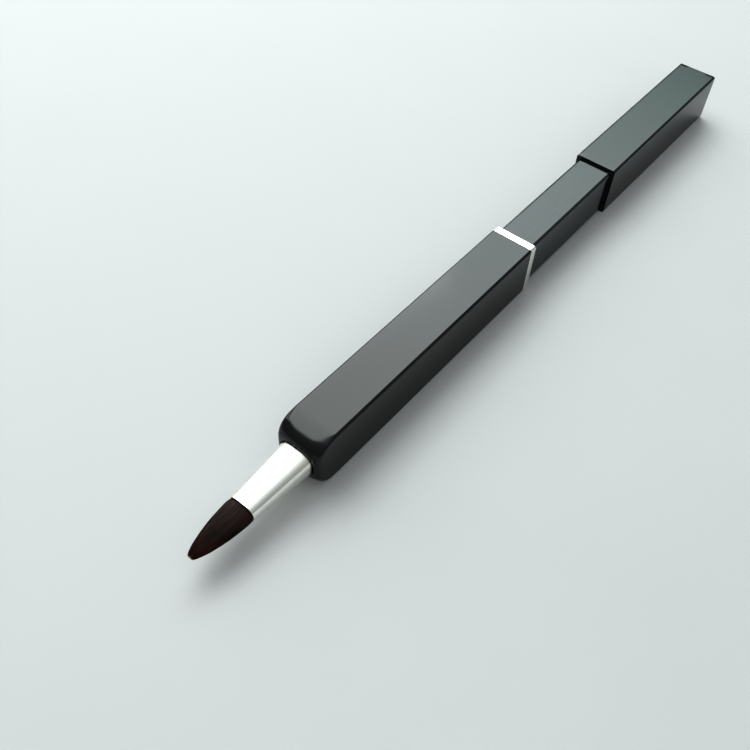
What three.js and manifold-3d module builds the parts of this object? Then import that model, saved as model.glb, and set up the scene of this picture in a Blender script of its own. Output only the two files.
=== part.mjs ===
// Slide-out pocket brush with a rectangular gloss-black case.
//
// Pulling the rear casing back draws the inner tube out of the front casing. A rack inside the inner tube turns a
// pinion that is held in the front casing, and the pinion drives the brush carriage the other way, so the ferrule and
// the hair tuft come out of the nose. Pushing the two casings together takes the brush back in.
//
// Millimetres, +Z up, +X towards the hair tip. The brush lies on the flat undersides of its two casings, which are in
// the plane Z = 0. All x positions below are measured from the joint between front casing and collar ring, and the
// whole assembly is then moved by ORIGIN_SHIFT so that the origin is the bottom centre of the open brush.
import * as THREE from "three";
import { mergeVertices } from "three/addons/utils/BufferGeometryUtils.js";
import Module from "manifold-3d";

const wasm = await Module();
wasm.setup();

// ---- driving dimensions -------------------------------------------------------------------------------------------
const WIDTH = 9.0; // case, across Y
const HEIGHT = 10.7; // case, along Z
const ZC = HEIGHT / 2; // height of the brush axis
const ORIGIN_SHIFT = -2.0;

const CASE_WALL = 0.35;
const CASE_EDGE_R = 0.5;
const BORE_W = WIDTH - 2 * CASE_WALL; // inside of both casings
const BORE_H = HEIGHT - 2 * CASE_WALL;

const NOSE_X = 60.06; // foremost point of the front casing
const NOSE_PLAN = [2.05, 1.11, 3.2]; // nose corner seen from above: length, inset and squareness
const NOSE_SIDE = [4.68, 2.07]; // nose slope seen from the side: length and drop
const NOSE_CROWN = [4.65, 3.8, 1.25]; // crowning of top and underside there: length, growth of the edge curve in y, power
const NOSE_FLANK = [3.0, 1.6, 1.8]; // the same for the flanks, growth in z
const MOUTH_A = 3.42; // half width of the mouth
const MOUTH_B = 2.8; // half height of the mouth
const BUSH_A = 3.36; // half sizes of the guide bore behind the mouth
const BUSH_B = 2.78;

const RING_T = 1.6; // visible width of the collar ring
const RING_SPIGOT = 6.0; // depth of its spigot in the front casing
const RING_EDGE_R = 0.5;

const TUBE_W = 7.56; // inner tube
const TUBE_H = 9.5;
const TUBE_WALL = 0.38;
const TUBE_EDGE_R = 0.55;
const TUBE_FRONT_X = 6.05;
const TUBE_REAR_X = -45.0;

const REAR_FRONT_X = -31.5; // rear casing
const REAR_END_X = -79.0;
const TAIL_PLUG_T = 3.0;

const SLIDE_TRAVEL = 29.9; // rear casing meets the collar ring at this travel

// gear train: one pinion between two racks
const MODULE = 0.35;
const PINION_TEETH = 10;
const PITCH_R = (MODULE * PINION_TEETH) / 2;
const PRESSURE = (20 * Math.PI) / 180;
const RACK_PITCH = Math.PI * MODULE;
const TOOTH_T = RACK_PITCH / 2 - 0.05; // thickness at the pitch line, with backlash taken off
const PINION_ADD = 0.3;
const PINION_DED = 0.28;
const RACK_ADD = 0.2;
const RACK_DED = 0.4;
const PINION_X = 4.0;
const PINION_Z = 3.92;
const PINION_HALF = 1.0;
const AXLE_R = 0.4;

const CARRIAGE_REAR_X = 37.5;
const CARRIAGE_FRONT_X = 46.0;
const FERRULE_RIM_X = 72.3;
const TIP_X = 83.0;

// ---- helpers ------------------------------------------------------------------------------------------------------
const lacquer = new THREE.MeshStandardMaterial({ color: 0x0b0c0d, roughness: 0.18, metalness: 0.0 });
const innerBlack = new THREE.MeshStandardMaterial({ color: 0x0d0f11, roughness: 0.22, metalness: 0.0 });
const silver = new THREE.MeshStandardMaterial({ color: 0xe8e9ea, roughness: 0.12, metalness: 1.0 });
const ferruleMetal = new THREE.MeshStandardMaterial({ color: 0xe4e6e4, roughness: 0.16, metalness: 1.0 });
const naturalPom = new THREE.MeshStandardMaterial({ color: 0xdedbd0, roughness: 0.5, metalness: 0.0 });
const blackPom = new THREE.MeshStandardMaterial({ color: 0x1b1b1c, roughness: 0.55, metalness: 0.0 });
const steel = new THREE.MeshStandardMaterial({ color: 0xa8abad, roughness: 0.3, metalness: 1.0 });
const amber = new THREE.MeshStandardMaterial({ color: 0xb98a45, roughness: 0.25, metalness: 0.0 });
const thread = new THREE.MeshStandardMaterial({ color: 0xd8cfbb, roughness: 0.8, metalness: 0.0 });
const hair = new THREE.MeshStandardMaterial({ color: 0x2b1a17, roughness: 0.45, metalness: 0.0 });

// A closed rounded rectangle, centred on (cy, cz), as a shape in the plane across the brush.
function roundRect(w, h, r, cy = 0, cz = ZC, Kind = THREE.Shape) {
  const s = new Kind(), a = w / 2, b = h / 2;
  s.moveTo(cy + a - r, cz - b);
  s.absarc(cy + a - r, cz - b + r, r, -Math.PI / 2, 0, false);
  s.absarc(cy + a - r, cz + b - r, r, 0, Math.PI / 2, false);
  s.absarc(cy - a + r, cz + b - r, r, Math.PI / 2, Math.PI, false);
  s.absarc(cy - a + r, cz - b + r, r, Math.PI, 1.5 * Math.PI, false);
  s.closePath();
  return s;
}

function polygon(points) {
  const s = new THREE.Shape();
  points.forEach(([u, v], i) => (i ? s.lineTo(u, v) : s.moveTo(u, v)));
  s.closePath();
  return s;
}

// A superellipse outline with half sizes a and b.
function oval(a, b, n = 2.3, cy = 0, cz = ZC, Kind = THREE.Shape, steps = 40) {
  const s = new Kind();
  for (let i = 0; i < steps; i++) {
    const t = (i / steps) * 2 * Math.PI, c = Math.cos(t), d = Math.sin(t);
    const u = cy + a * Math.sign(c) * Math.abs(c) ** (2 / n);
    const v = cz + b * Math.sign(d) * Math.abs(d) ** (2 / n);
    i ? s.lineTo(u, v) : s.moveTo(u, v);
  }
  s.closePath();
  return s;
}

// Extrudes a shape drawn across the brush (u = Y, v = Z) along X.
function alongX(shape, x0, x1, segs = 4) {
  const g = new THREE.ExtrudeGeometry(shape, { depth: x1 - x0, bevelEnabled: false, curveSegments: segs });
  g.applyMatrix4(new THREE.Matrix4().set(0, 0, 1, x0, 1, 0, 0, 0, 0, 1, 0, 0, 0, 0, 0, 1));
  return g;
}

// Extrudes a shape drawn on the side view (u = X, v = Z) across the brush, between y0 and y1.
function alongY(shape, y0, y1, segs = 6) {
  const g = new THREE.ExtrudeGeometry(shape, { depth: y1 - y0, bevelEnabled: false, curveSegments: segs });
  g.applyMatrix4(new THREE.Matrix4().set(1, 0, 0, 0, 0, 0, -1, y1, 0, 1, 0, 0, 0, 0, 0, 1));
  return g;
}

function box(x0, x1, y0, y1, z0, z1) {
  const g = new THREE.BoxGeometry(x1 - x0, y1 - y0, z1 - z0);
  g.translate((x0 + x1) / 2, (y0 + y1) / 2, (z0 + z1) / 2);
  return g;
}

// A cylinder along Y.
function pinY(x, z, r, y0, y1, segs) {
  const g = new THREE.CylinderGeometry(r, r, y1 - y0, segs);
  g.translate(x, (y0 + y1) / 2, z);
  return g;
}

// A body along X whose section changes: a closed cylinder with its vertices moved onto section(x, i, n).
function loft(stations, section, n) {
  const last = stations.length - 1;
  const g = new THREE.CylinderGeometry(1, 1, 1, n, last, false);
  const p = g.attributes.position;
  for (let i = 0; i < p.count; i++) {
    const u = p.getX(i), v = p.getZ(i);
    const x = stations[Math.round((p.getY(i) + 0.5) * last)];
    if (Math.hypot(u, v) < 0.5) {
      p.setXYZ(i, x, 0, ZC);
      continue;
    }
    const k = ((Math.round((Math.atan2(u, v) / (2 * Math.PI)) * n) % n) + n) % n;
    const [y, z] = section(x, k, n);
    p.setXYZ(i, x, y, z);
  }
  return g;
}

// Point k of n on a rounded rectangle: n / 4 points on each corner.
function roundRectPoint(a, b, ry, rz, k, n) {
  const per = n / 4, corner = Math.floor(k / per), j = k % per;
  const t = corner * (Math.PI / 2) + (j / (per - 1)) * (Math.PI / 2);
  const sy = corner === 0 || corner === 3 ? 1 : -1, sz = corner < 2 ? 1 : -1;
  return [sy * (a - ry) + ry * Math.cos(t), ZC + sz * (b - rz) + rz * Math.sin(t)];
}

function ovalPoint(a, b, e, k, n) {
  const t = (k / n) * 2 * Math.PI, c = Math.cos(t), d = Math.sin(t);
  return [a * Math.sign(c) * Math.abs(c) ** (2 / e), ZC + b * Math.sign(d) * Math.abs(d) ** (2 / e)];
}

function solid(g) {
  let m = g.index ? g.toNonIndexed() : g.clone();
  m.deleteAttribute("normal");
  m.deleteAttribute("uv");
  m = mergeVertices(m, 1e-4);
  return new wasm.Manifold(
    new wasm.Mesh({ numProp: 3, vertProperties: new Float32Array(m.attributes.position.array), triVerts: new Uint32Array(m.index.array) }),
  );
}

function geometry(m) {
  const mesh = m.getMesh();
  const g = new THREE.BufferGeometry();
  g.setAttribute("position", new THREE.BufferAttribute(new Float32Array(mesh.vertProperties), 3));
  g.setIndex(new THREE.BufferAttribute(new Uint32Array(mesh.triVerts), 1));
  return g;
}

const join = (...gs) => gs.map(solid).reduce((a, b) => a.add(b));
const ramp = (t) => Math.min(1, Math.max(0, t));
const mix = (a, b, t) => a + (b - a) * t;
const smooth = (t) => ramp(t) ** 2 * (3 - 2 * ramp(t));

const assembly = new THREE.Group();
assembly.position.x = ORIGIN_SHIFT;
function add(parent, name, geom, material) {
  const mesh = new THREE.Mesh(geom, material);
  mesh.name = name;
  parent.add(mesh);
  return mesh;
}

// ---- front casing: drawn shell with a rounded nose and an oval mouth ----------------------------------------------
// Half width, half height and the edge curve's two radii of the casing's outside at x.
function noseSection(x) {
  const [pl, pi, pe] = NOSE_PLAN, [sl, sd] = NOSE_SIDE;
  const u = ramp((x - (NOSE_X - pl)) / pl), v = ramp((x - (NOSE_X - sl)) / sl);
  const a = WIDTH / 2 - pi * (1 - (1 - u ** pe) ** (1 / pe));
  const b = HEIGHT / 2 - sd * (1 - Math.sqrt(1 - v * v));
  const edge = ([length, growth, power]) => CASE_EDGE_R + growth * ramp((x - (NOSE_X - length)) / length) ** power;
  return [a, b, Math.min(edge(NOSE_CROWN), a - 0.01), Math.min(edge(NOSE_FLANK), b - 0.01)];
}
const shellOuter = (x, k, n) => roundRectPoint(...noseSection(x), k, n);
const shellInner = (x, k, n) => {
  const [a, b, ry, rz] = noseSection(x + 0.5);
  return roundRectPoint(a - CASE_WALL, b - CASE_WALL, Math.max(0.3, ry - 0.35), Math.max(0.3, rz - 0.35), k, n);
};
{
  const outer = loft([0.02, 55.38, 56.1, 56.7, 57.1, 57.5, 57.9, 58.3, 58.65, 59.0, 59.3, 59.55, 59.75, 59.9, 60.0, 60.04, 60.06], shellOuter, 44);
  const inner = loft([-1, 54.88, 55.7, 56.4, 57.0, 57.5, 58.0, 58.4, 58.8, 59.1, 59.3], shellInner, 36);
  const mouth = alongX(oval(MOUTH_A, MOUTH_B, 2.6), 57.0, 61.0);
  add(assembly, "front_casing", geometry(solid(outer).subtract(solid(inner)).subtract(solid(mouth))), lacquer);
}

// ---- collar ring: plated band with a thin spigot pressed into the front casing ------------------------------------
{
  const band = alongX(roundRect(WIDTH, HEIGHT, RING_EDGE_R), -RING_T, 0, 6);
  const spigot = alongX(roundRect(BORE_W - 0.04, BORE_H - 0.04, 0.28), -0.6, RING_SPIGOT, 4);
  const hole = alongX(roundRect(TUBE_W + 0.06, TUBE_H + 0.06, TUBE_EDGE_R), -3, RING_SPIGOT + 1, 5);
  add(assembly, "collar_ring", geometry(join(band, spigot).subtract(solid(hole))), silver);
}

// ---- nose bush: moulded guide for the ferrule, with a socket for the guide rail -----------------------------------
const RAIL_HALF = 3.24, RAIL_TOP = 9.52, RAIL_UNDER = 8.35;
{
  const body = roundRect(BORE_W - 0.06, BORE_H - 0.06, 0.3);
  body.holes.push(oval(BUSH_A, BUSH_B, 2.6, 0, ZC, THREE.Path));
  const socket = box(45, 50, -RAIL_HALF - 0.03, RAIL_HALF + 0.03, RAIL_UNDER - 0.03, RAIL_TOP + 0.03);
  add(assembly, "nose_bush", geometry(solid(alongX(body, 46.1, 54.8)).subtract(solid(socket))), blackPom);
}

// ---- guide rail: bar from the nose bush back to the pinion, grooved underneath, with two cheeks for the axle --------
const KEY_HALF = 0.8, KEY_TOP = 8.85;
{
  const h = RAIL_HALF, k = KEY_HALF + 0.07;
  const bar = alongX(
    polygon([[-h, RAIL_UNDER], [-k, RAIL_UNDER], [-k, KEY_TOP + 0.07], [k, KEY_TOP + 0.07], [k, RAIL_UNDER], [h, RAIL_UNDER], [h, RAIL_TOP], [-h, RAIL_TOP]]),
    1.2, 49.9,
  );
  const cheek = (y0, y1) =>
    alongY(polygon([[1.2, 8.6], [1.2, 4.4], [2.6, 3.0], [5.4, 3.0], [6.8, 4.4], [6.8, 8.6]]), y0, y1);
  const rib = box(1.2, 6.8, -1.5, 1.5, 7.3, 9.0);
  const hole = pinY(PINION_X, PINION_Z, AXLE_R + 0.02, -4, 4, 24);
  const cut = join(bar, cheek(-2.6, -1.35), cheek(1.35, 2.6), rib).subtract(solid(hole));
  add(assembly, "guide_rail", geometry(cut), blackPom);
}

add(assembly, "pinion_axle", pinY(PINION_X, PINION_Z, AXLE_R, -2.58, 2.58, 20), steel);

// ---- pinion -------------------------------------------------------------------------------------------------------
function pinionOutline() {
  const base = PITCH_R * Math.cos(PRESSURE), tip = PITCH_R + PINION_ADD, root = PITCH_R - PINION_DED;
  const inv = (a) => Math.tan(a) - a;
  const half = (r) => TOOTH_T / (2 * PITCH_R) + inv(PRESSURE) - inv(Math.acos(Math.min(1, base / r)));
  const pts = [];
  const at = (r, t) => pts.push([PINION_X + r * Math.sin(t), PINION_Z + r * Math.cos(t)]);
  for (let i = 0; i < PINION_TEETH; i++) {
    const c = (i / PINION_TEETH) * 2 * Math.PI, hb = half(base);
    at(root, c - Math.PI / PINION_TEETH);
    at(root, c - hb - 0.06);
    at(root + 0.08, c - hb);
    for (let j = 0; j <= 5; j++) { const r = mix(base, tip, j / 5); at(r, c - half(r)); }
    for (let j = 5; j >= 0; j--) { const r = mix(base, tip, j / 5); at(r, c + half(r)); }
    at(root + 0.08, c + hb);
    at(root, c + hb + 0.06);
  }
  return pts.reverse();
}
{
  const s = polygon(pinionOutline());
  const bore = new THREE.Path();
  bore.absarc(PINION_X, PINION_Z, AXLE_R + 0.05, 0, 2 * Math.PI, true);
  s.holes.push(bore);
  add(assembly, "pinion", alongY(s, -PINION_HALF, PINION_HALF, 12), naturalPom);
}

// Teeth of a rack from x0 to x1 with its pitch line at height zp; side +1 has its teeth up and -1 down. back is the
// height of the bar's far side. One gap is centred on the pinion.
function rackBar(x0, x1, zp, side, back) {
  const root = zp - side * RACK_DED, tip = zp + side * RACK_ADD;
  const ht = TOOTH_T / 2 - RACK_ADD * Math.tan(PRESSURE), hr = TOOTH_T / 2 + RACK_DED * Math.tan(PRESSURE);
  const pts = [[x0, back], [x0, root]];
  const first = Math.ceil((x0 + hr - PINION_X) / RACK_PITCH - 0.5), lastTooth = Math.floor((x1 - hr - PINION_X) / RACK_PITCH - 0.5);
  for (let i = first; i <= lastTooth; i++) {
    const c = PINION_X + (i + 0.5) * RACK_PITCH;
    pts.push([c - hr, root], [c - ht, tip], [c + ht, tip], [c + hr, root]);
  }
  pts.push([x1, root], [x1, back]);
  return polygon(side > 0 ? pts.reverse() : pts);
}

// ---- moving rear group: slide shoe, drive rack, friction spring, inner tube, coupling sleeve, rear casing ----------
const rearGroup = new THREE.Group();
assembly.add(rearGroup);
const TUBE_FLOOR = ZC - TUBE_H / 2 + TUBE_WALL;
{
  // Frame that runs in the front casing and stops against the ring's spigot, with a foot glued to the tube's floor.
  const flange = roundRect(BORE_W - 0.1, BORE_H - 0.1, 0.3);
  const pass = new THREE.Path();
  pass.moveTo(-3.37, 1.7); pass.lineTo(-3.37, 9.58); pass.lineTo(3.37, 9.58); pass.lineTo(3.37, 1.7); pass.closePath();
  flange.holes.push(pass);
  const ring = alongX(flange, TUBE_FRONT_X + 0.02, 9.05);
  const foot = alongX(polygon([[-3.15, TUBE_FLOOR + 0.02], [3.15, TUBE_FLOOR + 0.02], [3.3, TUBE_FLOOR + 0.2], [3.3, 1.7], [-3.3, 1.7], [-3.3, TUBE_FLOOR + 0.2]]), 0.5, 6.6);
  const slot = box(-1, 7.65, -1.22, 1.22, TUBE_FLOOR - 0.02, 3);
  const pocket = box(6.6, 8.6, -2.6, 2.6, 9.8, 11);
  add(rearGroup, "slide_shoe", geometry(join(ring, foot).subtract(solid(slot)).subtract(solid(pocket))), naturalPom);
}
add(rearGroup, "drive_rack", alongY(rackBar(-30, 7.6, PINION_Z - PITCH_R, 1, TUBE_FLOOR + 0.02), -1.2, 1.2), naturalPom);
{
  // Bowed leaf in the shoe's pocket, which rubs on the roof of the front casing.
  const up = [], down = [];
  for (let i = 0; i <= 12; i++) {
    const y = -2.45 + (4.9 * i) / 12, z = 9.83 + 0.32 * Math.cos((Math.PI * y) / 4.9);
    down.push([y, z]);
    up.unshift([y, z + 0.15]);
  }
  add(rearGroup, "friction_spring", alongX(polygon([...down, ...up]), 6.7, 8.5), steel);
}
{
  const s = roundRect(TUBE_W, TUBE_H, TUBE_EDGE_R);
  s.holes.push(roundRect(TUBE_W - 2 * TUBE_WALL, TUBE_H - 2 * TUBE_WALL, 0.18, 0, ZC, THREE.Path));
  add(rearGroup, "inner_tube", alongX(s, TUBE_REAR_X, TUBE_FRONT_X, 5), innerBlack);
}
{
  const s = alongX(roundRect(BORE_W - 0.04, BORE_H - 0.04, 0.3), TUBE_REAR_X - 1.5, REAR_FRONT_X);
  const seat = alongX(roundRect(TUBE_W + 0.04, TUBE_H + 0.04, TUBE_EDGE_R - 0.03), TUBE_REAR_X - 0.05, REAR_FRONT_X + 1);
  const window = alongX(roundRect(4.6, 6.2, 0.8), TUBE_REAR_X - 3, TUBE_REAR_X + 1);
  add(rearGroup, "coupling_sleeve", geometry(solid(s).subtract(solid(seat)).subtract(solid(window))), blackPom);
}
{
  const tube = roundRect(WIDTH, HEIGHT, CASE_EDGE_R);
  tube.holes.push(roundRect(BORE_W, BORE_H, 0.3, 0, ZC, THREE.Path));
  add(rearGroup, "rear_casing", alongX(tube, REAR_END_X, REAR_FRONT_X, 6), lacquer);

  // Cup-shaped plug, pressed in flush with the end of the rear casing.
  const cup = alongX(roundRect(BORE_W - 0.04, BORE_H - 0.04, 0.31), REAR_END_X, REAR_END_X + TAIL_PLUG_T);
  const hollow = alongX(roundRect(BORE_W - 1.2, BORE_H - 1.2, 0.3), REAR_END_X + 1.2, REAR_END_X + TAIL_PLUG_T + 1);
  add(rearGroup, "tail_plug", geometry(solid(cup).subtract(solid(hollow))), innerBlack);
}

// ---- moving brush group: carriage, its rack, ferrule, glued and bound hair roots, tuft -------------------------------
const brushGroup = new THREE.Group();
assembly.add(brushGroup);
{
  const block = alongX(roundRect(5.4, 5.7, 0.5, 0, 5.36), CARRIAGE_REAR_X, CARRIAGE_FRONT_X);
  const key = box(CARRIAGE_REAR_X, CARRIAGE_FRONT_X, -KEY_HALF, KEY_HALF, 8.0, KEY_TOP);
  const plug = new THREE.CylinderGeometry(2.15, 2.3, 7, 24);
  plug.rotateZ(-Math.PI / 2);
  plug.translate(CARRIAGE_FRONT_X + 2.5, 0, ZC);
  const slot = box(CARRIAGE_REAR_X - 1, 41.04, -1.12, 1.12, 5.4, 7.22);
  add(brushGroup, "brush_carriage", geometry(join(block, key, plug).subtract(solid(slot))), naturalPom);

  const bar = alongY(rackBar(0.9, CARRIAGE_REAR_X - 0.1, PINION_Z + PITCH_R, -1, 7.2), -1.1, 1.1);
  const tang = box(CARRIAGE_REAR_X - 0.4, 41.0, -1.1, 1.1, 5.44, 7.2);
  add(brushGroup, "carriage_rack", geometry(join(bar, tang)), naturalPom);
}

// Half width, half height and squareness of the ferrule's outside at x: round at the back, flattened at the hair.
const FERRULE_REAR_X = 46.05;
function ferruleSize(x) {
  const t = ramp((x - 53) / 7), s = ramp((x - 60) / (FERRULE_RIM_X - 60));
  const a = x < 60 ? mix(2.68, 3.25, smooth(t)) : mix(3.25, 2.5, s);
  const b = x < 60 ? mix(2.68, 2.5, smooth(t)) : mix(2.5, 1.72, s);
  return [a, b, x < 60 ? mix(2.0, 3.2, smooth(t)) : mix(3.2, 3.0, s)];
}
const TUFT_A = [[72.45, 2.58], [73, 2.62], [74, 2.54], [75, 2.41], [77, 2.2], [78.5, 1.95], [80.2, 1.58], [81.4, 1.24], [82.2, 0.95], [82.7, 0.69], [82.92, 0.48], [TIP_X, 0.3]];
const TUFT_B = [[72.45, 1.66], [73, 1.67], [74, 1.63], [75, 1.57], [77, 1.4], [78.5, 1.18], [80.2, 0.86], [81.4, 0.62], [82.2, 0.45], [82.7, 0.33], [82.92, 0.23], [TIP_X, 0.14]];
function lookup(table, x) {
  for (let i = 1; i < table.length; i++)
    if (x <= table[i][0]) return mix(table[i - 1][1], table[i][1], ramp((x - table[i - 1][0]) / (table[i][0] - table[i - 1][0])));
  return table[table.length - 1][1];
}
{
  const xs = [FERRULE_REAR_X, 53, 54.5, 56, 57.5, 59, 60, 62, 64, 66, 68, 70, 71.2, FERRULE_RIM_X];
  const outer = loft(xs, (x, k, n) => { const [a, b, e] = ferruleSize(x); return ovalPoint(a, b, e, k, n); }, 40);
  const wall = 0.25;
  const xi = [45, 53, 54.5, 56, 57.5, 59, 60, 62, 64, 66, 68, 70, FERRULE_RIM_X + 1];
  const inner = loft(xi, (x, k, n) => { const [a, b, e] = ferruleSize(Math.max(FERRULE_REAR_X, x)); return ovalPoint(a - wall, b - wall, e, k, n); }, 40);
  add(brushGroup, "ferrule", geometry(solid(outer).subtract(solid(inner))), ferruleMetal);

  const fill = (gap) => (x, k, n) => { const [a, b, e] = ferruleSize(x); return ovalPoint(a - wall - gap, b - wall - gap, e, k, n); };
  add(brushGroup, "hair_root_glue", loft([56.5, 57.5, 59, 60, 61.5], fill(0.03), 40), amber);

  // Thread wound round the roots.
  const wound = loft([62.05, 63.15], fill(0.04), 40), core = loft([61, 64], fill(0.36), 40);
  add(brushGroup, "tuft_binding", geometry(solid(wound).subtract(solid(core))), thread);

  // Tuft: fills the ferrule's front end, swells a little past the rim and narrows to a rounded tip.
  const tuft = (x, k, n) => {
    if (x > 61.99 && x < 63.21) return fill(0.38)(x, k, n);
    if (x <= FERRULE_RIM_X + 0.03) return fill(0.04)(x, k, n);
    return ovalPoint(lookup(TUFT_A, x), lookup(TUFT_B, x), 2.1, k, n);
  };
  const tx = [61.6, 61.98, 62.0, 63.2, 63.22, 66, 68, 70, FERRULE_RIM_X + 0.03, 72.45, 73, 74, 75, 76, 77, 77.8, 78.5, 79.4, 80.2, 80.8, 81.4, 81.8, 82.2, 82.5, 82.7, 82.92, TIP_X];
  add(brushGroup, "hair_tuft", loft(tx, tuft, 32), hair);
}

const brush = new THREE.Group();
brush.add(assembly);
export default brush;
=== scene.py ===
import math
import random

import bpy
import numpy as np
from mathutils import Matrix, Vector


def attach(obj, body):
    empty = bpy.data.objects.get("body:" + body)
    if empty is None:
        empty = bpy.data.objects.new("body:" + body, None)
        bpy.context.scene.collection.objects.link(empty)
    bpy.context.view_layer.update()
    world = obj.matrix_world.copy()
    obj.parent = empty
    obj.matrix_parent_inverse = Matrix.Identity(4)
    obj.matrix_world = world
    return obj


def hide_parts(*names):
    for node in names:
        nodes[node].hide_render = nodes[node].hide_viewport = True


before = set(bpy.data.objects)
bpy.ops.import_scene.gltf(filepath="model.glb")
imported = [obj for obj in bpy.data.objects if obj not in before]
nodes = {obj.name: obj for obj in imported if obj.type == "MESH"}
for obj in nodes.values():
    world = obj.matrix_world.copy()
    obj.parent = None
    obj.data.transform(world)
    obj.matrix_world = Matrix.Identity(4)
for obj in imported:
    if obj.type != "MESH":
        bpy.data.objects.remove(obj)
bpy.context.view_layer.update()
random.seed(7)
rng = np.random.default_rng(7)

# Millimetres here are measured from the joint between front casing and collar ring; SHIFT brings them to the frame.
MM = 0.001
SHIFT = -2.0
W, H = 9.0, 10.7
ZC = H / 2
CASE_R = 0.5
NOSE_X = 60.06
NOSE_PLAN, NOSE_SIDE = (2.05, 1.11, 3.2), (4.68, 2.07)
NOSE_CROWN, NOSE_FLANK = (4.65, 3.8, 1.25), (3.0, 1.6, 1.8)
MOUTH_A, MOUTH_B, MOUTH_N = 3.42, 2.8, 2.6
BORE_W, BORE_H = W - 0.7, H - 0.7
RING_T = 1.6
TUBE_W, TUBE_H, TUBE_WALL, TUBE_R = 7.56, 9.5, 0.38, 0.55
REAR_FRONT, REAR_END = -31.5, -79.0
RIM_X, TIP_X = 72.3, 83.0


# ------------------------------------------------------------------------------------------------ camera and stage
def add_camera():
    cam = bpy.data.cameras.new("camera")
    cam.sensor_width = 36.0
    cam.lens = 41.182
    cam.clip_start = 0.005
    cam.clip_end = 20.0
    ob = bpy.data.objects.new("camera", cam)
    bpy.context.scene.collection.objects.link(ob)
    right, down, fwd = CAM_R
    m = Matrix(((right[0], -down[0], -fwd[0], CAM_C[0]),
                (right[1], -down[1], -fwd[1], CAM_C[1]),
                (right[2], -down[2], -fwd[2], CAM_C[2]),
                (0, 0, 0, 1)))
    ob.matrix_world = m
    bpy.context.scene.camera = ob


CAM_C = (0.111085, 0.054312, 0.119522)
CAM_R = ((-0.6339467, 0.7725761, 0.0351813), (0.5862735, 0.5097459, -0.6296368), (-0.5043759, -0.3785303, -0.7760926))
add_camera()


# ------------------------------------------------------------------------------------------------ node helpers
class Mat:
    """A small builder for node-based materials."""

    def __init__(self, name):
        self.m = bpy.data.materials.new(name)
        self.m.use_nodes = True
        self.t = self.m.node_tree
        self.t.nodes.clear()
        self.out = self.t.nodes.new("ShaderNodeOutputMaterial")
        self.b = self.t.nodes.new("ShaderNodeBsdfPrincipled")
        self.t.links.new(self.b.outputs[0], self.out.inputs[0])
        self.co = self.t.nodes.new("ShaderNodeTexCoord").outputs["Object"]

    def set(self, **kw):
        for k, v in kw.items():
            self.b.inputs[k.replace("_", " ")].default_value = v
        return self

    def link(self, a, b):
        self.t.links.new(a, b)

    def coords(self, scale=(1, 1, 1), rot=(0, 0, 0), loc=(0, 0, 0)):
        n = self.t.nodes.new("ShaderNodeMapping")
        n.inputs["Scale"].default_value = scale
        n.inputs["Rotation"].default_value = rot
        n.inputs["Location"].default_value = loc
        self.link(self.co, n.inputs[0])
        return n.outputs[0]

    def noise(self, scale, vec=None, detail=3.0, rough=0.5, dist=0.0):
        n = self.t.nodes.new("ShaderNodeTexNoise")
        n.inputs["Scale"].default_value = scale
        n.inputs["Detail"].default_value = detail
        n.inputs["Roughness"].default_value = rough
        n.inputs["Distortion"].default_value = dist
        self.link(vec if vec is not None else self.co, n.inputs["Vector"])
        return n.outputs[0]

    def voronoi(self, scale, vec=None, feature="F1"):
        n = self.t.nodes.new("ShaderNodeTexVoronoi")
        n.feature = feature
        n.inputs["Scale"].default_value = scale
        self.link(vec if vec is not None else self.co, n.inputs["Vector"])
        return n.outputs["Distance"]

    def ramp(self, fac, stops):
        n = self.t.nodes.new("ShaderNodeValToRGB")
        el = n.color_ramp.elements
        while len(el) > 1:
            el.remove(el[-1])
        for i, (p, c) in enumerate(stops):
            e = el[0] if i == 0 else el.new(p)
            e.position = p
            e.color = (c, c, c, 1) if isinstance(c, (int, float)) else (*c, 1)
        self.link(fac, n.inputs[0])
        return n.outputs[0]

    def remap(self, v, a, b, c, d, clamp=True):
        n = self.t.nodes.new("ShaderNodeMapRange")
        n.clamp = clamp
        for i, x in enumerate((a, b, c, d)):
            n.inputs[1 + i].default_value = x
        self.link(v, n.inputs[0])
        return n.outputs[0]

    def math(self, op, a, b=None):
        n = self.t.nodes.new("ShaderNodeMath")
        n.operation = op
        for i, x in enumerate((a, b)):
            if x is None:
                continue
            if isinstance(x, (int, float)):
                n.inputs[i].default_value = x
            else:
                self.link(x, n.inputs[i])
        return n.outputs[0]

    def mix(self, fac, a, b):
        n = self.t.nodes.new("ShaderNodeMix")
        n.data_type = "RGBA"
        if isinstance(fac, (int, float)):
            n.inputs[0].default_value = fac
        else:
            self.link(fac, n.inputs[0])
        for i, x in ((6, a), (7, b)):
            if isinstance(x, tuple):
                n.inputs[i].default_value = (*x, 1)
            else:
                self.link(x, n.inputs[i])
        return n.outputs[2]

    def color(self, c):
        self.link(c, self.b.inputs["Base Color"])
        return self

    def rough(self, r):
        self.link(r, self.b.inputs["Roughness"])
        return self

    def bump(self, h, strength, distance, prev=None):
        n = self.t.nodes.new("ShaderNodeBump")
        n.inputs["Strength"].default_value = strength
        n.inputs["Distance"].default_value = distance
        self.link(h, n.inputs["Height"])
        if prev is not None:
            self.link(prev, n.inputs["Normal"])
        self.link(n.outputs[0], self.b.inputs["Normal"])
        return n.outputs[0]

    def axis(self, i):
        n = self.t.nodes.new("ShaderNodeSeparateXYZ")
        self.link(self.co, n.inputs[0])
        return n.outputs[i]


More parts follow.
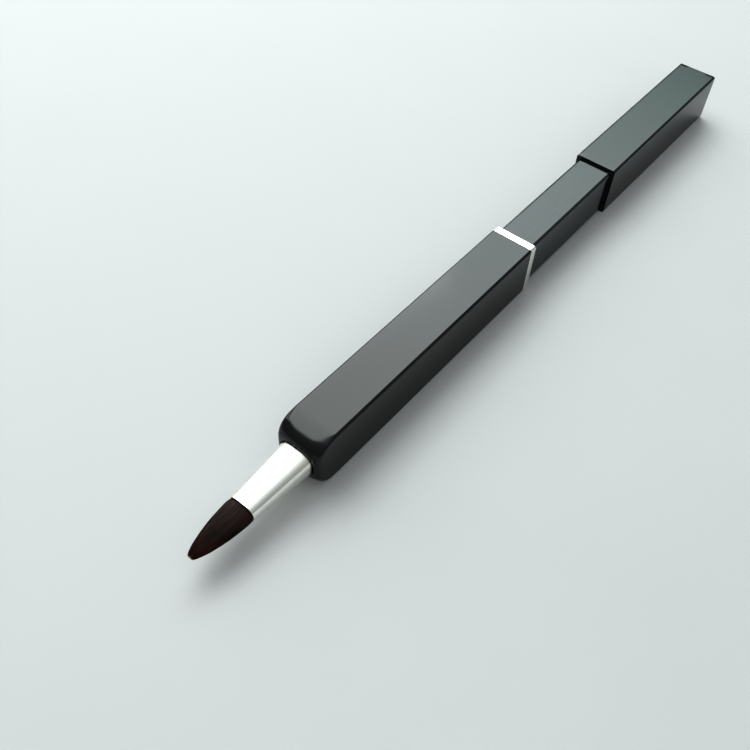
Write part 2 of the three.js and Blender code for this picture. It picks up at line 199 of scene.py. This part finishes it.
# ------------------------------------------------------------------------------------------------ materials
def lacquer():
    """Deep gloss black: faint orange peel, handling smudges, sparse dust and hairline scratches."""
    m = Mat("black_lacquer_gloss").set(Metallic=0.0, IOR=1.5)
    smudge = m.noise(160, m.coords((1, 1.3, 1.3)), 5, 0.62, 0.6)
    blot = m.noise(900, None, 3, 0.6)
    scratch = m.noise(260, m.coords((1, 26, 26), (0, 0, 0.05)), 2, 0.5)
    specks = m.voronoi(1500)
    dust = m.ramp(specks, [(0.0, 1.0), (0.07, 0.0), (1.0, 0.0)])
    patch = m.ramp(m.noise(95, m.coords((0.7, 1, 1), (0, 0, 0), (0.013, 0, 0)), 2), [(0.0, 0.0), (0.52, 0.0), (0.66, 1.0), (1.0, 1.0)])
    haze = m.math("MULTIPLY", m.ramp(smudge, [(0.0, 0.0), (0.45, 0.0), (0.75, 1.0), (1.0, 1.0)]), patch)
    base = m.mix(m.math("MULTIPLY", dust, m.math("MULTIPLY", patch, 0.5)), (0.0045, 0.0052, 0.0055), (0.10, 0.10, 0.095))
    base = m.mix(m.math("MULTIPLY", haze, 0.10), base, (0.05, 0.052, 0.05))
    m.color(base)
    r = m.math("ADD", m.remap(blot, 0.3, 0.7, 0.085, 0.12), m.math("MULTIPLY", haze, 0.13))
    r = m.math("ADD", r, m.remap(scratch, 0.62, 0.75, 0.0, 0.05))
    m.rough(r)
    b = m.bump(m.noise(700, None, 2, 0.5), 0.05, 0.00002)
    m.bump(scratch, 0.02, 0.000006, b)
    return m.m


def tube_black():
    """Gloss black tube with lengthwise rub lines where it slides through the collar."""
    m = Mat("black_tube_rubbed").set(Metallic=0.0, IOR=1.52)
    fine = m.noise(420, m.coords((0.03, 6, 6)), 4, 0.65)
    wide = m.noise(130, m.coords((0.03, 3, 3), (0, 0, 0), (0, 0.4, 0)), 2, 0.5)
    lines = m.ramp(fine, [(0.0, 0.0), (0.5, 0.0), (0.62, 0.55), (0.72, 1.0), (1.0, 1.0)])
    bands = m.ramp(wide, [(0.0, 0.0), (0.45, 0.15), (0.65, 1.0), (1.0, 1.0)])
    wear = m.math("MULTIPLY", lines, bands)
    m.color(m.mix(m.math("MULTIPLY", wear, 0.8), (0.006, 0.0078, 0.0092), (0.062, 0.074, 0.082)))
    m.rough(m.math("ADD", m.remap(wide, 0.3, 0.7, 0.10, 0.16), m.math("MULTIPLY", wear, 0.16)))
    m.bump(fine, 0.16, 0.00001)
    return m.m


def plated(name, tint, r0, r1, grain):
    """Bright plate: polishing grain, cloudy roughness and a little toning."""
    m = Mat(name).set(Metallic=1.0)
    cloud = m.noise(240, None, 4, 0.6, 0.4)
    polish = m.noise(500, m.coords(grain), 3, 0.6)
    m.color(m.mix(m.remap(cloud, 0.35, 0.7, 0.0, 1.0), tint, tuple(c * k for c, k in zip(tint, (0.94, 0.93, 0.89)))))
    m.rough(m.math("ADD", m.remap(cloud, 0.3, 0.7, r0, r1), m.remap(polish, 0.45, 0.75, 0.0, 0.05)))
    m.bump(polish, 0.04, 0.000008)
    return m.m


def resin(name, a, b, rough, gloss_spots=True):
    """Moulded plastic: fine spark-eroded grain and faint flow marks."""
    m = Mat(name).set(Metallic=0.0, IOR=1.48)
    flow = m.noise(170, m.coords((0.4, 1.6, 1.6)), 3, 0.5, 1.2)
    grain = m.noise(5200, None, 2, 0.6)
    m.color(m.mix(m.remap(flow, 0.3, 0.7, 0.0, 1.0), a, b))
    m.rough(m.math("ADD", m.remap(flow, 0.3, 0.7, rough - 0.06, rough + 0.06), m.remap(grain, 0.3, 0.7, -0.03, 0.05)))
    p = m.bump(grain, 0.25, 0.00001)
    m.bump(flow, 0.1, 0.00003, p)
    return m.m


def steel():
    m = Mat("drawn_steel").set(Metallic=1.0)
    draw = m.noise(700, m.coords((30, 1, 30)), 3, 0.6)
    tone = m.noise(260, None, 4, 0.6)
    m.color(m.mix(m.remap(tone, 0.3, 0.7, 0.0, 1.0), (0.46, 0.47, 0.48), (0.62, 0.62, 0.61)))
    m.rough(m.math("ADD", m.remap(draw, 0.3, 0.7, 0.22, 0.38), m.remap(tone, 0.4, 0.7, 0.0, 0.08)))
    m.bump(draw, 0.15, 0.000012)
    return m.m


def cast_glue():
    m = Mat("cast_resin").set(Metallic=0.0, IOR=1.55)
    flow = m.noise(420, None, 3, 0.5, 1.5)
    bub = m.ramp(m.voronoi(1300), [(0.0, 1.0), (0.13, 0.0), (1.0, 0.0)])
    m.color(m.mix(bub, m.mix(m.remap(flow, 0.3, 0.7, 0, 1), (0.30, 0.13, 0.03), (0.48, 0.25, 0.07)), (0.6, 0.42, 0.2)))
    m.rough(m.remap(flow, 0.3, 0.7, 0.12, 0.3))
    m.bump(bub, 0.3, 0.00004)
    return m.m


def wound_thread():
    m = Mat("wound_thread").set(Metallic=0.0)
    w = m.t.nodes.new("ShaderNodeTexWave")
    w.wave_type, w.bands_direction = "BANDS", "X"
    w.inputs["Scale"].default_value = 900
    w.inputs["Distortion"].default_value = 0.6
    m.link(m.coords((1, 0.08, 0.08)), w.inputs[0])
    fz = m.noise(5200, m.coords((0.5, 3, 3)), 3)
    m.color(m.mix(w.outputs[1], (0.34, 0.29, 0.2), m.mix(m.remap(fz, 0.3, 0.7, 0, 1), (0.72, 0.66, 0.52), (0.6, 0.53, 0.4))))
    m.rough(m.remap(fz, 0.3, 0.7, 0.75, 0.95))
    m.bump(w.outputs[1], 0.8, 0.00006)
    return m.m


def hair_mat(name, base_dark, base_warm, tip, rough):
    """Dark brown hair: streaks along the hair, warmer towards the tips."""
    m = Mat(name).set(Metallic=0.0, IOR=1.46)
    streak = m.noise(900, m.coords((0.035, 3.4, 3.4)), 4, 0.7)
    fine = m.noise(2600, m.coords((0.04, 2.2, 2.2)), 3, 0.6)
    body = m.mix(m.ramp(streak, [(0.0, 0.0), (0.38, 0.0), (0.68, 1.0), (1.0, 1.0)]), base_dark, base_warm)
    body = m.mix(m.remap(fine, 0.55, 0.8, 0.0, 0.55), body, tuple(min(1, 2.4 * c + 0.012) for c in base_warm))
    along = m.remap(m.axis(0), (RIM_X + SHIFT + 5.5) * MM, (TIP_X + SHIFT) * MM, 0.0, 1.0)
    m.color(m.mix(m.math("MULTIPLY", along, m.remap(streak, 0.3, 0.7, 0.5, 1.0)), body, tip))
    m.rough(m.remap(fine, 0.3, 0.7, rough - 0.06, rough + 0.1))
    return m.m


M_LACQ, M_TUBE = lacquer(), tube_black()
M_RING = plated("collar_plate", (0.93, 0.925, 0.90), 0.10, 0.17, (30, 1, 1))
M_FERR = plated("ferrule_plate", (0.95, 0.95, 0.92), 0.21, 0.27, (0.6, 6, 6))
M_NAT = resin("acetal_natural", (0.70, 0.66, 0.57), (0.62, 0.58, 0.50), 0.46)
M_BLK = resin("acetal_black", (0.010, 0.011, 0.012), (0.020, 0.020, 0.021), 0.42)
M_STEEL, M_GLUE, M_THREAD = steel(), cast_glue(), wound_thread()
M_HAIR = hair_mat("hair_dark", (0.0090, 0.0040, 0.0036), (0.052, 0.0175, 0.0135), (0.062, 0.0175, 0.013), 0.40)
# Darker, rougher copy of the hair material for the packed inner hair: the darkness is painted shade between and under
# the outer hairs.
M_CORE_SHADE = hair_mat("hair_core_painted_shade", (0.0045, 0.0026, 0.0026), (0.012, 0.006, 0.005), (0.03, 0.010, 0.008), 0.55)


# ------------------------------------------------------------------------------------------------ mesh helpers
def mesh_object(name, verts, faces, material, smooth=True):
    me = bpy.data.meshes.new(name)
    me.from_pydata([((x + SHIFT) * MM, y * MM, z * MM) for x, y, z in verts], [], faces)
    me.materials.append(material)
    if smooth:
        me.polygons.foreach_set("use_smooth", [True] * len(me.polygons))
    me.validate()
    me.update()
    ob = bpy.data.objects.new(name, me)
    bpy.context.scene.collection.objects.link(ob)
    return ob


def weighted(ob):
    mod = ob.modifiers.new("weighted", "WEIGHTED_NORMAL")
    mod.mode = "FACE_AREA"
    mod.weight = 90
    mod.keep_sharp = True
    return ob


def rings_to_mesh(rings, closed_loop=False, cap_start=False, cap_end=False):
    """Quads between rings of n points each. Rings run counter-clockwise seen from +X, with faces pointing out when
    x falls from ring to ring... the sense is fixed by outward()."""
    n = len(rings[0])
    verts = [tuple(p) for r in rings for p in r]
    faces = []
    m = len(rings)
    for i in range(m if closed_loop else m - 1):
        a, b = i * n, ((i + 1) % m) * n
        for k in range(n):
            q = (k + 1) % n
            faces.append((a + k, a + q, b + q, b + k))
    if cap_start:
        faces.append(tuple(range(n - 1, -1, -1)))
    if cap_end:
        faces.append(tuple((m - 1) * n + k for k in range(n)))
    return verts, faces


def outward(ob):
    """Faces point out of the closed mesh."""
    me = ob.data
    vol = 0.0
    for p in me.polygons:
        v = [me.vertices[i].co for i in p.vertices]
        for i in range(1, len(v) - 1):
            vol += v[0].dot(v[i].cross(v[i + 1]))
    if vol < 0:
        me.flip_normals()
    return ob


T_FLAT = [0.006, 0.02, 0.05, 0.1, 0.16, 0.23, 0.31, 0.4, 0.5, 0.6, 0.69, 0.77, 0.84, 0.9, 0.95, 0.98, 0.994]


def rr(a, b, r, nc=10, flats=T_FLAT):
    """Points (y, z) of a rounded rectangle of half sizes a, b: corner arcs with nc points and sampled flats."""
    pts = []
    corners = [(1, 1, 0.0), (-1, 1, math.pi / 2), (-1, -1, math.pi), (1, -1, 1.5 * math.pi)]
    for c, (sy, sz, t0) in enumerate(corners):
        cy, cz = sy * (a - r), sz * (b - r)
        arc = [(cy + r * math.cos(t0 + j / (nc - 1) * math.pi / 2), cz + r * math.sin(t0 + j / (nc - 1) * math.pi / 2)) for j in range(nc)]
        pts += arc
        ny, nz, nt = corners[(c + 1) % 4]
        nxt = (ny * (a - r) + r * math.cos(t0 + math.pi / 2), nz * (b - r) + r * math.sin(t0 + math.pi / 2))
        pts += [(arc[-1][0] + (nxt[0] - arc[-1][0]) * t, arc[-1][1] + (nxt[1] - arc[-1][1]) * t) for t in flats]
    return np.array(pts)


def ring3(yz, x):
    return np.column_stack([np.full(len(yz), x) if np.isscalar(x) else x, yz[:, 0], yz[:, 1] + ZC])


def oval_at(angles, a, b, n):
    """Points of a superellipse at the given polar angles."""
    c, s = np.abs(np.cos(angles)), np.abs(np.sin(angles))
    r = ((c / a) ** n + (s / b) ** n) ** (-1 / n)
    return np.column_stack([r * np.cos(angles), r * np.sin(angles)])


def edge_rings(ring_fn, x_end, direction, f=0.12, n=4):
    """Rings that round the edge at x_end: ring_fn(inset) gives the section set in by inset."""
    out = []
    for j in range(n + 1):
        t = j / n * math.pi / 2
        out.append(ring3(ring_fn(f * (1 - math.cos(t))), x_end - direction * f * (1 - math.sin(t))))
    return out


# ------------------------------------------------------------------------------------------------ front casing
def nose_section(x):
    (pl, pi, pe), (sl, sd) = NOSE_PLAN, NOSE_SIDE
    u = np.clip((x - (NOSE_X - pl)) / pl, 0, 1)
    v = np.clip((x - (NOSE_X - sl)) / sl, 0, 1)
    a = W / 2 - pi * (1 - (1 - u ** pe) ** (1 / pe))
    b = H / 2 - sd * (1 - np.sqrt(1 - v * v))
    ry, rz = (CASE_R + g * np.clip((x - (NOSE_X - n)) / n, 0, 1) ** p for n, g, p in (NOSE_CROWN, NOSE_FLANK))
    return a, b, np.minimum(ry, a - 0.001), np.minimum(rz, b - 0.001)


def nose_x(yz):
    """Largest x at which the point (y, z) is still on or inside the casing's section."""
    lo, hi = np.full(len(yz), 50.0), np.full(len(yz), NOSE_X)
    py, pz = np.abs(yz[:, 0]), np.abs(yz[:, 1])
    for _ in range(46):
        mid = (lo + hi) / 2
        a, b, ry, rz = nose_section(mid)
        qy, qz = np.maximum(py - (a - ry), 0) / ry, np.maximum(pz - (b - rz), 0) / rz
        inside = np.hypot(qy, qz) <= 1 + 1e-5
        lo, hi = np.where(inside, mid, lo), np.where(inside, hi, mid)
    return lo


def build_front_casing():
    full = rr(W / 2, H / 2, CASE_R)
    ang = np.arctan2(full[:, 1], full[:, 0])
    mouth = oval_at(ang, MOUTH_A, MOUTH_B, MOUTH_N)
    rings = edge_rings(lambda i: rr(W / 2 - i, H / 2 - i, CASE_R), 0.02, -1, 0.10, 4)[::-1]
    rings += [ring3(full, x) for x in (0.3, 1, 4, 10, 20, 30, 40, 48, 52, 54.8)]
    nt, f = 44, 0.16
    length = np.linalg.norm(full - mouth, axis=1)
    for j in range(nt + 1):
        t = np.full(len(full), (j / nt) ** 2.1)
        t = np.minimum(t, 1 - f / length)
        if j and (np.abs(t - prev) < 1e-9).all():
            break
        prev = t
        yz = full + (mouth - full) * t[:, None]
        rings.append(ring3(yz, nose_x(yz)))
    start = rings[-1]
    rim = ring3(mouth, nose_x(mouth))
    deep = rim.copy()
    deep[:, 0] -= f
    for j in range(1, 6):
        t = j / 5
        rings.append((1 - t) ** 2 * start + 2 * t * (1 - t) * rim + t ** 2 * deep)
    for x in (58.0, 57.4):
        rings.append(ring3(mouth, x))
    rings.append(ring3(rr(BORE_W / 2 - 0.25, BORE_H / 2 - 0.7, 1.6), 56.9))
    bore = rr(BORE_W / 2, BORE_H / 2, 0.27)
    rings += [ring3(bore, x) for x in (54.8, 50, 30, 8, 0.2)]
    rings += [ring3(rr(BORE_W / 2 + 0.03, BORE_H / 2 + 0.03, 0.27), 0.02)]
    v, fa = rings_to_mesh(rings, closed_loop=True)
    ob = outward(mesh_object("casing_front", v, fa, M_LACQ))
    return weighted(ob)


# ------------------------------------------------------------------------------------------------ straight tubes
def build_tube(name, material, x0, x1, w, h, r, wall, ri, f0, f1, mids=()):
    """Rectangular tube from x0 to x1 with rounded end edges f0 and f1."""
    outer = lambda i: rr(w / 2 - i, h / 2 - i, max(r, i + 0.02))
    inner = lambda i: rr(w / 2 - wall + i, h / 2 - wall + i, ri + i)
    g = min(f0, wall / 3), min(f1, wall / 3)
    rings = edge_rings(outer, x0, -1, f0, 4)[::-1]
    rings += [ring3(outer(0), x) for x in mids]
    rings += edge_rings(outer, x1, 1, f1, 4)
    e1 = edge_rings(inner, x1, 1, g[1], 3)[::-1]
    e0 = edge_rings(inner, x0, -1, g[0], 3)
    rings += e1 + e0
    v, fa = rings_to_mesh(rings, closed_loop=True)
    return weighted(outward(mesh_object(name, v, fa, material)))


# ------------------------------------------------------------------------------------------------ ferrule and tuft
def smooth(t):
    t = min(1.0, max(0.0, t))
    return t * t * (3 - 2 * t)


def mixf(a, b, t):
    return a + (b - a) * t


def ferrule_size(x):
    """Half width, half height and squareness of the outside: round at the back, flattened at the hair."""
    if x < 60:
        t = smooth((x - 53) / 7)
        return mixf(2.68, 3.25, t), mixf(2.68, 2.5, t), mixf(2.0, 3.2, t)
    s = (x - 60) / (RIM_X - 60)
    return mixf(3.25, 2.5, s), mixf(2.5, 1.72, s), mixf(3.2, 3.0, s)


N_F = 144
F_ANG = np.linspace(0, 2 * math.pi, N_F, endpoint=False)


def ferrule_ring(x, inset=0.0):
    a, b, e = ferrule_size(x)
    return ring3(oval_at(F_ANG, a - inset, b - inset, e), x)


def build_ferrule():
    f = 0.09
    rings = []
    for j in range(6):
        t = j / 5 * math.pi / 2
        rings.append(ferrule_ring(46.05 + f * (1 - math.sin(t)), f * (1 - math.cos(t))))
    rings = rings[::-1]
    xs = [46.3, 49, 52, 53] + list(np.linspace(53.6, 60, 14)) + list(np.linspace(60.6, RIM_X - 0.4, 22))
    rings += [ferrule_ring(x) for x in xs]
    rings += [ferrule_ring(RIM_X - f * (1 - math.sin(t)), f * (1 - math.cos(t))) for t in np.linspace(0.1, math.pi / 2, 6)]
    w = 0.24
    rings += [ferrule_ring(RIM_X - 0.02, w - 0.03), ferrule_ring(RIM_X - 0.08, w)]
    rings += [ferrule_ring(x, w) for x in (71, 66, 62, 60, 58, 55, 53, 47, 46.07)]
    v, fa = rings_to_mesh(rings, closed_loop=True)
    return outward(mesh_object("ferrule_shell", v, fa, M_FERR))


TA = [(72.3, 2.34), (72.45, 2.56), (73, 2.62), (74, 2.54), (75, 2.41), (77, 2.2), (78.5, 1.95), (80.2, 1.58), (81.4, 1.24), (82.2, 0.95), (82.7, 0.69), (82.92, 0.48), (83.0, 0.3)]
TB = [(72.3, 1.48), (72.45, 1.64), (73, 1.67), (74, 1.63), (75, 1.57), (77, 1.4), (78.5, 1.18), (80.2, 0.86), (81.4, 0.62), (82.2, 0.45), (82.7, 0.33), (82.92, 0.23), (83.0, 0.14)]
A0, B0 = 2.58, 1.65


def look(table, x):
    return float(np.interp(x, [p[0] for p in table], [p[1] for p in table]))


def build_core():
    """Packed inner hair: what shows between the outer hairs, and the root inside the ferrule. Its colour is a darker
    copy of the hair material: painted shade between and under the outer hairs.
    """
    n = 64
    ang = np.linspace(0, 2 * math.pi, n, endpoint=False)
    rings = []
    for x in (61.6, 66, 70, RIM_X - 0.2):
        a, b, e = ferrule_size(x)
        rings.append(ring3(oval_at(ang, a - 0.32, b - 0.32, e), x))
    for x in np.concatenate([np.linspace(RIM_X + 0.1, 79.5, 22), np.linspace(79.8, 82.3, 12)]):
        k = 0.90 - 0.16 * smooth((x - 75) / 7)
        rings.append(ring3(oval_at(ang, look(TA, x) * k, look(TB, x) * k, 2.1), x))
    v, fa = rings_to_mesh(rings, cap_start=True, cap_end=True)
    return outward(mesh_object("tuft_core", v, fa, M_CORE_SHADE))


def build_hairs(count=3000):
    """Tapered hairs laid side by side from inside the rim; outer ones end sooner, which gives the rounded outline."""
    verts, faces, shades = [], [], []
    sides, segs = 3, 9
    golden = math.pi * (3 - math.sqrt(5))
    for i in range(count):
        # start point in the unit disc, denser near the surface
        rho = math.sqrt((i + 0.5) / count)
        rho = 1 - (1 - rho) * 0.62
        th = i * golden + rng.uniform(-0.2, 0.2)
        u, w = rho * math.cos(th), rho * math.sin(th)
        conv = rng.uniform(0.42, 0.62)
        drift = rng.normal(0, 0.030, 2)
        radius = rng.uniform(0.026, 0.044)
        wave = rng.normal(0, 0.012)
        ph = rng.uniform(0, 6.28)

        def at(x):
            sa, sb = look(TA, x) / A0, look(TB, x) / B0
            t = max(0.0, (x - RIM_X) / (TIP_X - RIM_X))
            ky = mixf(1.0, sa, conv + 0.35 * t * t)
            kz = mixf(1.0, sb, 0.9)
            a0, b0 = (A0, B0) if x > RIM_X + 0.15 else (look(TA, max(x, RIM_X)), look(TB, max(x, RIM_X)))
            y = u * a0 * ky + drift[0] * t * 2 + wave * math.sin(ph + x * 0.9)
            z = w * b0 * kz + drift[1] * t + wave * math.cos(ph + x * 0.8)
            return y, z

        # where the hair meets the outline
        xe = TIP_X - 0.02 + rng.uniform(-0.09, 0.0) - (rng.random() ** 4) * 1.6
        x = 74.0
        while x < xe:
            y, z = at(x)
            if (abs(y) / (look(TA, x) + 0.015)) ** 2.1 + (abs(z) / (look(TB, x) + 0.015)) ** 2.1 > 1.06:
                break
            x += 0.08
        xe = min(x, xe)
        xs = RIM_X - 0.7
        base = len(verts)
        ca = [(math.cos(2 * math.pi * s / sides + ph), math.sin(2 * math.pi * s / sides + ph)) for s in range(sides)]
        for j in range(segs + 1):
            t = j / segs
            x = mixf(xs, xe, t)
            y, z = at(x)
            if x < RIM_X + 0.03:
                a, b, e = ferrule_size(x)
                k = ((abs(y) / (a - 0.30)) ** 2.3 + (abs(z) / (b - 0.30)) ** 2.3) ** (1 / 2.3)
                if k > 1:
                    y, z = y / k, z / k
            rad = radius * (1 - 0.82 * max(0, (t - 0.45) / 0.55) ** 1.4)
            if j == segs:
                rad *= 0.35
            for cy, cz in ca:
                verts.append((x, y + rad * cy, z + rad * cz + ZC))
            shades.append(0)
        for j in range(segs):
            a, b = base + j * sides, base + (j + 1) * sides
            for s in range(sides):
                q = (s + 1) % sides
                faces.append((a + s, b + s, b + q, a + q))
        faces.append(tuple(base + s for s in range(sides)))
        faces.append(tuple(base + segs * sides + s for s in reversed(range(sides))))
    ob = mesh_object("tuft_hair", verts, faces, M_HAIR)
    return ob


casing = build_front_casing()
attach(casing, "front"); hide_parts("front_casing")


def build_ring():
    outer = lambda i: rr(W / 2 - i, H / 2 - i, 0.5)
    hole = rr(TUBE_W / 2 + 0.04, TUBE_H / 2 + 0.04, TUBE_R)
    lip = rr(TUBE_W / 2 + 0.10, TUBE_H / 2 + 0.10, TUBE_R + 0.04)
    rings = edge_rings(outer, -RING_T, -1, 0.13, 5)[::-1]
    rings += [ring3(outer(0), x) for x in (-1.2, -0.4)]
    rings += edge_rings(outer, 0.0, 1, 0.09, 4)
    spig = rr(BORE_W / 2 - 0.03, BORE_H / 2 - 0.03, 0.28)
    rings += [ring3(spig, 0.0), ring3(spig, 0.2), ring3(spig, 5.9), ring3(rr(BORE_W / 2 - 0.1, BORE_H / 2 - 0.1, 0.26), 6.0)]
    rings += [ring3(hole, 6.0), ring3(hole, 3.0), ring3(hole, -RING_T + 0.1), ring3(lip, -RING_T + 0.005)]
    v, fa = rings_to_mesh(rings, closed_loop=True)
    return weighted(outward(mesh_object("collar_band", v, fa, M_RING)))


ring = build_ring()
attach(ring, "front"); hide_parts("collar_ring")

tube = build_tube("tube_inner", M_TUBE, -45.0, 6.05, TUBE_W, TUBE_H, TUBE_R, TUBE_WALL, 0.18, 0.1, 0.1, (-40, -31, -20, -10, 0, 5))
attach(tube, "rear"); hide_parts("inner_tube")

rear = build_tube("casing_rear", M_LACQ, REAR_END, REAR_FRONT, W, H, CASE_R, 0.35, 0.29, 0.08, 0.11, (-78, -70, -55, -40, -33))
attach(rear, "rear"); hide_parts("rear_casing")

ferrule = build_ferrule()
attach(ferrule, "brush"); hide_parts("ferrule")

core = build_core()
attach(core, "brush"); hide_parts("hair_tuft")
hairs = build_hairs()
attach(hairs, "brush"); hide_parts("hair_tuft")

# ------------------------------------------------------------------------------------------------ carried-over nodes
for node, material in {
    "nose_bush": M_BLK, "guide_rail": M_BLK, "coupling_sleeve": M_BLK, "tail_plug": M_BLK,
    "pinion": M_NAT, "slide_shoe": M_NAT, "drive_rack": M_NAT, "brush_carriage": M_NAT, "carriage_rack": M_NAT,
    "pinion_axle": M_STEEL, "friction_spring": M_STEEL, "hair_root_glue": M_GLUE, "tuft_binding": M_THREAD,
}.items():
    ob = nodes[node]
    ob.data.materials.clear()
    ob.data.materials.append(material)
    bev = ob.modifiers.new("edge_break", "BEVEL")
    bev.width = 0.04 * MM
    bev.segments = 2
    bev.limit_method = "ANGLE"
    bev.angle_limit = math.radians(35)
    bev.use_clamp_overlap = True


# ------------------------------------------------------------------------------------------------ stage and light
def add_floor():
    me = bpy.data.meshes.new("floor")
    s = 14.0
    z = -0.00002
    me.from_pydata([(-s, -s, z), (s, -s, z), (s, s, z), (-s, s, z)], [], [(0, 1, 2, 3)])
    m = Mat("floor_pale").set(Metallic=0.0, IOR=1.45)
    n = m.noise(30, None, 3)
    m.color(m.mix(m.remap(n, 0.3, 0.7, 0.0, 1.0), (0.470, 0.476, 0.478), (0.485, 0.491, 0.493)))
    m.rough(m.remap(n, 0.3, 0.7, 0.62, 0.7))
    me.materials.append(m.m)
    ob = bpy.data.objects.new("floor", me)
    bpy.context.scene.collection.objects.link(ob)


def area(name, loc, target, size, power, color, shape="RECTANGLE", size_y=None):
    li = bpy.data.lights.new(name, "AREA")
    li.shape = shape
    li.size = size
    if size_y:
        li.size_y = size_y
    li.energy = power
    li.color = color
    ob = bpy.data.objects.new(name, li)
    ob.location = loc
    d = Vector(target) - Vector(loc)
    ob.rotation_euler = d.to_track_quat("-Z", "Y").to_euler()
    bpy.context.scene.collection.objects.link(ob)
    return ob


def softbox(name, loc, size, size_y, radiance, stops, side=0.30, ends=(0.0, 0.10), target=None):
    """A panel with soft edges whose brightness and tint run along its length; level unless aimed at a target."""
    li = bpy.data.lights.new(name, "AREA")
    li.shape = "RECTANGLE"
    li.size, li.size_y = size, size_y
    li.energy = radiance * math.pi * size * size_y
    li.use_nodes = True
    t = li.node_tree
    em = t.nodes["Emission"]
    g = t.nodes.new("ShaderNodeNewGeometry")
    sep = t.nodes.new("ShaderNodeSeparateXYZ")
    r = t.nodes.new("ShaderNodeValToRGB")
    t.links.new(g.outputs["Parametric"], sep.inputs[0])
    t.links.new(sep.outputs[0], r.inputs[0])
    el = r.color_ramp.elements
    r.color_ramp.interpolation = "B_SPLINE"
    while len(el) > 1:
        el.remove(el[-1])
    for i, (p, c) in enumerate(stops):
        e = el[0] if i == 0 else el.new(p)
        e.position = p
        e.color = (*c, 1)
    t.links.new(r.outputs[0], em.inputs[0])
    edge = t.nodes.new("ShaderNodeValToRGB")
    t.links.new(sep.outputs[1], edge.inputs[0])
    el = edge.color_ramp.elements
    el[0].position, el[0].color = 0.0, (0, 0, 0, 1)
    el[1].position, el[1].color = 1.0, (0, 0, 0, 1)
    for p in (side, 1 - side):
        el.new(p).color = (1, 1, 1, 1)
    far = t.nodes.new("ShaderNodeValToRGB")
    t.links.new(sep.outputs[0], far.inputs[0])
    el = far.color_ramp.elements
    far.color_ramp.interpolation = "EASE"
    el[0].position, el[0].color = ends[0], (1, 1, 1, 1)
    el[1].position, el[1].color = 1.0, (0, 0, 0, 1)
    el.new(1 - ends[1]).color = (1, 1, 1, 1)
    if ends[0]:
        el.new(0.0).color = (0, 0, 0, 1)
    mul = t.nodes.new("ShaderNodeMath")
    mul.operation = "MULTIPLY"
    t.links.new(edge.outputs[0], mul.inputs[0])
    t.links.new(far.outputs[0], mul.inputs[1])
    t.links.new(mul.outputs[0], em.inputs[1])
    ob = bpy.data.objects.new(name, li)
    ob.location = loc
    if target:
        ob.rotation_euler = (Vector(target) - Vector(loc)).to_track_quat("-Z", "Y").to_euler()
    bpy.context.scene.collection.objects.link(ob)
    return ob


def add_light():
    w = bpy.data.worlds.new("studio")
    bpy.context.scene.world = w
    w.use_nodes = True
    bg = w.node_tree.nodes["Background"]
    t = w.node_tree
    co = t.nodes.new("ShaderNodeTexCoord")
    sep = t.nodes.new("ShaderNodeSeparateXYZ")
    sky = t.nodes.new("ShaderNodeValToRGB")
    t.links.new(co.outputs["Generated"], sep.inputs[0])
    t.links.new(sep.outputs[2], sky.inputs[0])
    t.links.new(sky.outputs[0], bg.inputs[0])
    el = sky.color_ramp.elements
    el[0].color, el[1].color = (0.228, 0.232, 0.223, 1), (0.80, 0.85, 0.86, 1)
    for p, c in ((0.35, (0.262, 0.270, 0.262)), (0.75, (0.325, 0.340, 0.335)), (0.93, (0.48, 0.51, 0.515))):
        el.new(p).color = (*c, 1)
    area("key", (-0.30, -0.95, 0.66), (0, 0, 0), 1.35, 4.9, (0.97, 1.0, 1.0), size_y=0.85)
    fill = softbox("fill", (0.98, 0.80, 0.80), 1.7, 1.7, 1.15, [(0.0, (0.97, 1.0, 1.0)), (1.0, (0.97, 1.0, 1.0))], 0.35, (0.35, 0.35), (0, 0, 0))
    fill.visible_glossy = False
    softbox("overhead", (-0.455, -0.35, 0.6), 1.50, 0.64, 4.0,
            [(0.0, (0.15, 0.215, 0.21)), (0.12, (0.30, 0.395, 0.38)), (0.26, (0.54, 0.635, 0.62)), (0.42, (0.80, 0.885, 0.88)),
             (0.56, (0.88, 0.935, 0.92)), (0.68, (0.725, 0.76, 0.75)), (1.0, (0.665, 0.70, 0.69))])


add_floor()
add_light()
vs = bpy.context.scene.view_settings
vs.view_transform = "Standard"
vs.look = "High Contrast"
